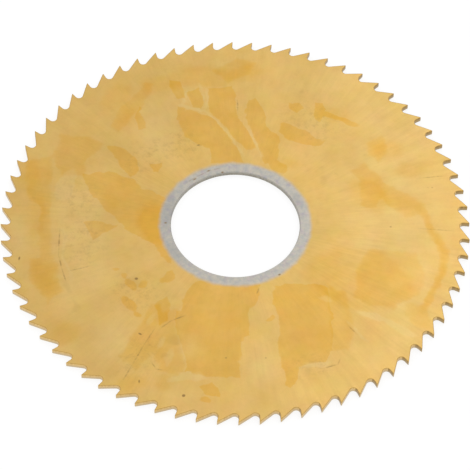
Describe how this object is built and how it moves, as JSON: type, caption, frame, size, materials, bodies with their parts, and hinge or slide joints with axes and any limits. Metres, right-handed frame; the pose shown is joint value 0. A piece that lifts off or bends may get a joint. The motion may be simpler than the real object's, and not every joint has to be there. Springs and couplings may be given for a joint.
{
  "type": "slitting saw",
  "caption": "Thin hollow-ground circular saw for slitting metal on a milling arbor: a flat disc with forward-raked teeth, round gullets and a plain central bore.",
  "frame": {"origin": "on the bore's axis, at the height of the surface that the saw lies on", "axes": "+Z along the arbor's axis, up from the side that the saw lies on; one tooth's tip is on +X; seen from +Z the teeth point clockwise"},
  "size_m": [0.08, 0.08, 0.001],
  "materials": {
    "gold_coated_steel": "satin"
  },
  "bodies": {
    "root": {"saw_blade": "gold_coated_steel"}
  },
  "joints": []
}
